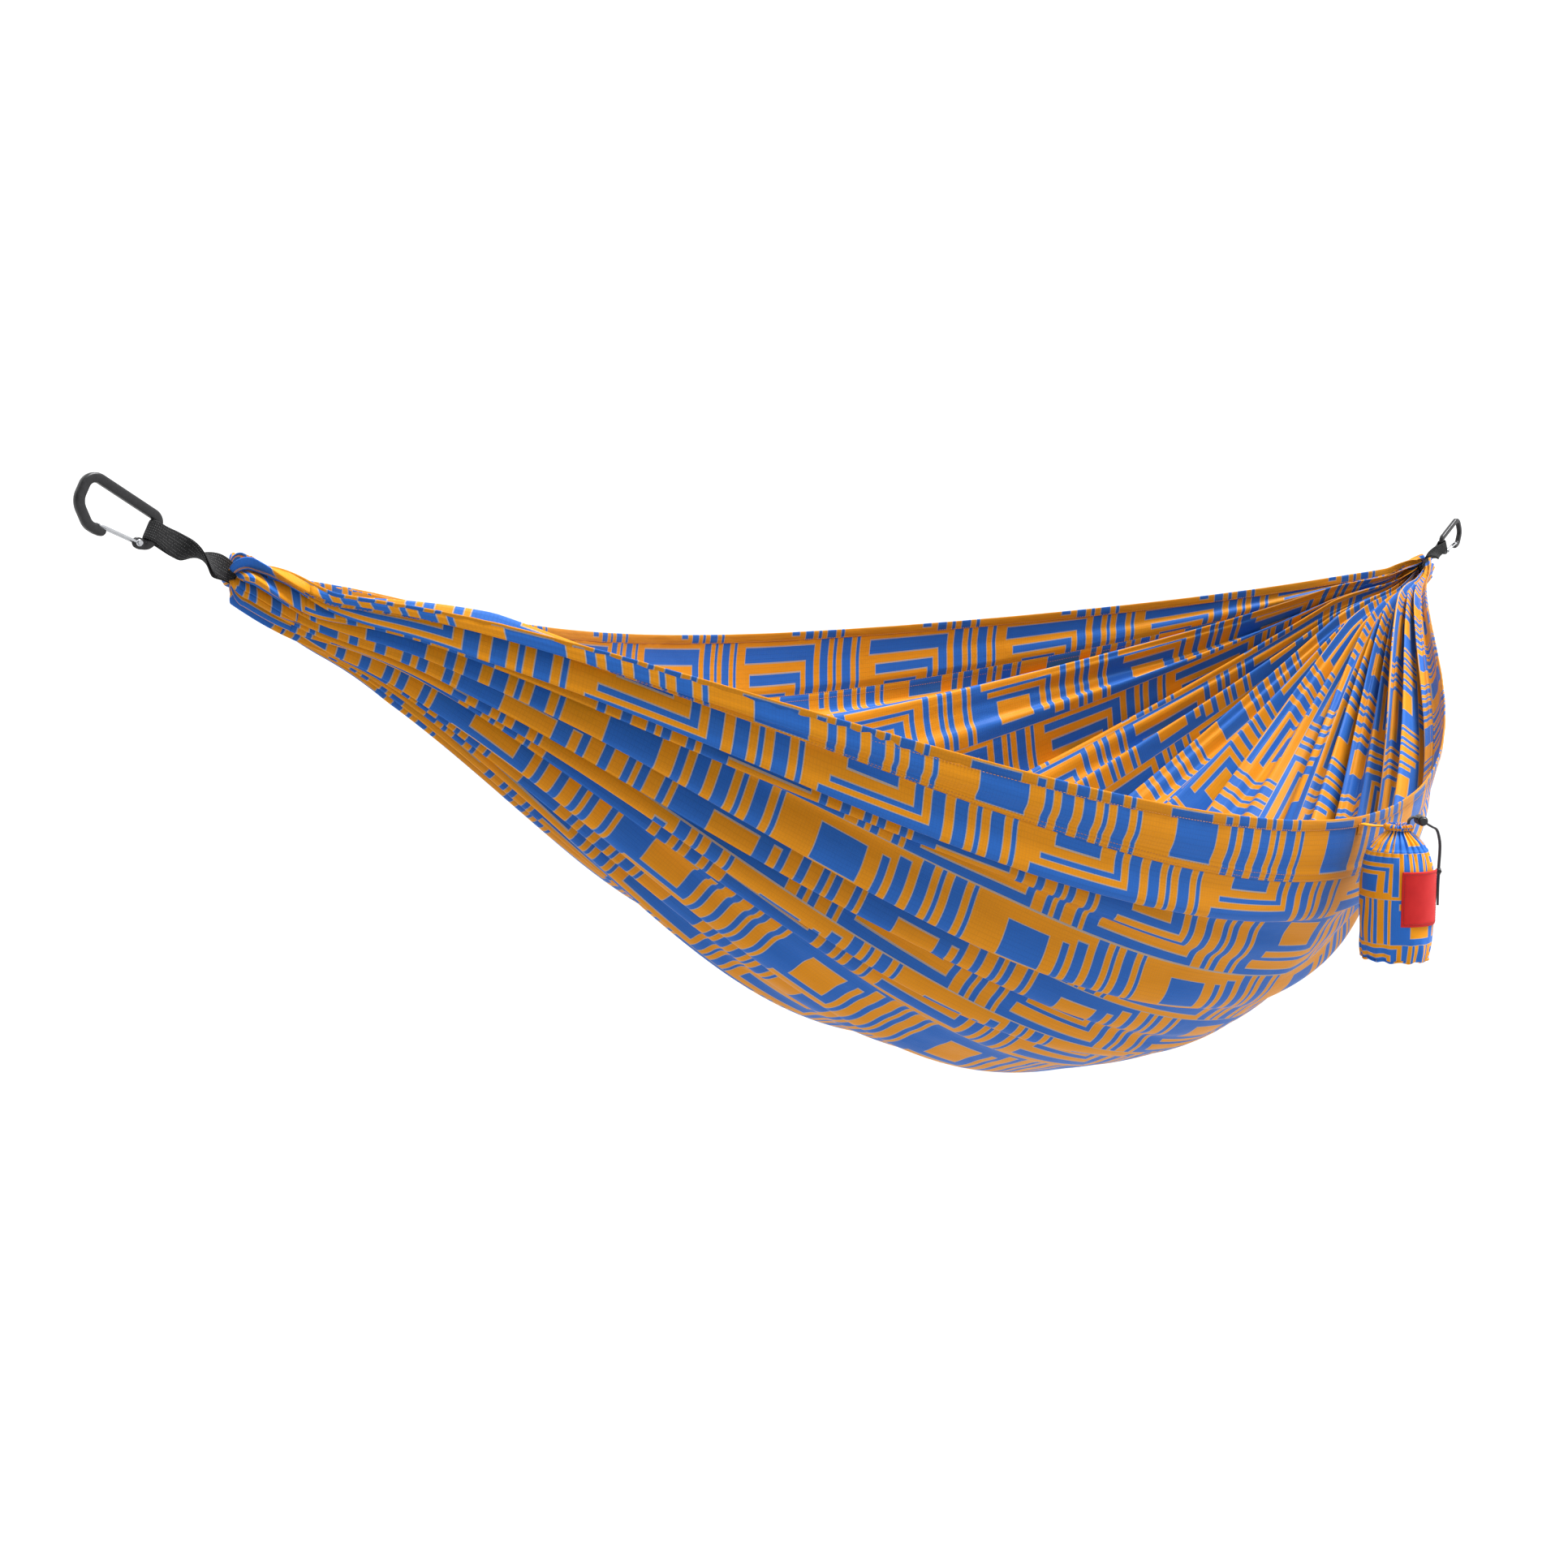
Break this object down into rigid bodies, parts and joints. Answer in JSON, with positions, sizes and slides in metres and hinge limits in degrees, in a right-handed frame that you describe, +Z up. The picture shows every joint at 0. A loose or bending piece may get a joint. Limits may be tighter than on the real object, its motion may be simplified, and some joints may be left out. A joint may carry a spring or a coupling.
{
  "type": "camping hammock",
  "caption": "Gathered-end fabric camping hammock with webbing loops, wire-gate carabiners and a drawstring stuff sack sewn to one rim, shown hung.",
  "frame": {"origin": "middle of the flat strap seat inside the left carabiner's bow, where the left tree strap bears", "axes": "+X level, from the left hang point to the right one; +Y level, from the rim with the stuff sack towards the other rim; +Z up"},
  "size_m": [2.7512, 1.0759, 0.7562],
  "materials": {
    "printed_cloth": "ripstop nylon, printed in orange and blue, slight sheen",
    "side_cloth": "ripstop nylon, same print, rolled hem along the rim",
    "sack_cloth": "ripstop nylon, same print",
    "webbing": "woven black polyester webbing",
    "cord": "braided black cord",
    "label_twill": "red twill patch with a stitched border, blank",
    "black_alloy": "black anodised aluminium, satin",
    "steel": "polished stainless wire",
    "lock_plastic": "moulded black plastic, fine spark texture"
  },
  "bodies": {
    "bed": {"bed_main_panel": "printed_cloth", "near_side_panel": "side_cloth", "far_side_panel": "side_cloth", "left_end_channel": "printed_cloth", "right_end_channel": "printed_cloth", "left_webbing_loop": "webbing", "right_webbing_loop": "webbing"},
    "left_carabiner": {"left_carabiner_body": "black_alloy", "left_gate_rivet": "steel"},
    "left_gate": {"left_gate_wire": "steel"},
    "right_carabiner": {"right_carabiner_body": "black_alloy", "right_gate_rivet": "steel"},
    "right_gate": {"right_gate_wire": "steel"},
    "sack": {"sack_body": "sack_cloth", "sack_base": "sack_cloth", "sack_casing": "sack_cloth", "sack_label": "label_twill", "sack_tab": "sack_cloth", "drawcord_strand_a": "cord", "drawcord_strand_b": "cord", "drawcord_tail_a": "cord", "drawcord_tail_b": "cord", "drawcord_knot": "cord"},
    "cord_lock": {"cord_lock_barrel": "lock_plastic", "cord_lock_spring": "steel"},
    "cord_lock_button": {"cord_lock_plunger": "lock_plastic"}
  },
  "joints": [
    {"name": "left_carabiner_swing", "type": "hinge", "parent": "bed", "child": "left_carabiner", "pos_m": [0.06224, 0, -0.03424], "axis": [0.454, 0, 0.891], "range_deg": [-75, 75]},
    {"name": "right_carabiner_swing", "type": "hinge", "parent": "bed", "child": "right_carabiner", "pos_m": [2.66397, 0, -0.03424], "axis": [-0.454, 0, 0.891], "range_deg": [-75, 75]},
    {"name": "left_gate_open", "type": "hinge", "parent": "left_carabiner", "child": "left_gate", "pos_m": [0.04582, 0, -0.04333], "axis": [0, 1, 0], "range_deg": [0, 30], "stiffness_Nm_per_rad": 0.18, "springref_deg": -17.19},
    {"name": "right_gate_open", "type": "hinge", "parent": "right_carabiner", "child": "right_gate", "pos_m": [2.68039, 0, -0.04333], "axis": [0, -1, 0], "range_deg": [0, 30], "stiffness_Nm_per_rad": 0.18, "springref_deg": -17.19},
    {"name": "sack_swing", "type": "hinge", "parent": "bed", "child": "sack", "pos_m": [1.36311, -0.5015, -0.37337], "axis": [-1, 0, 0], "range_deg": [0, 80]},
    {"name": "cord_lock_slide", "type": "slide", "parent": "sack", "child": "cord_lock", "axis": [0.5567, -0.6634, -0.5], "range_m": [0, 0.015]},
    {"name": "cord_lock_button_press", "type": "slide", "parent": "cord_lock", "child": "cord_lock_button", "axis": [0.766, 0.6428, 0], "range_m": [0, 0.0035], "stiffness_N_per_m": 600, "springref_m": -0.002, "deforming": ["cord_lock_spring"]}
  ]
}
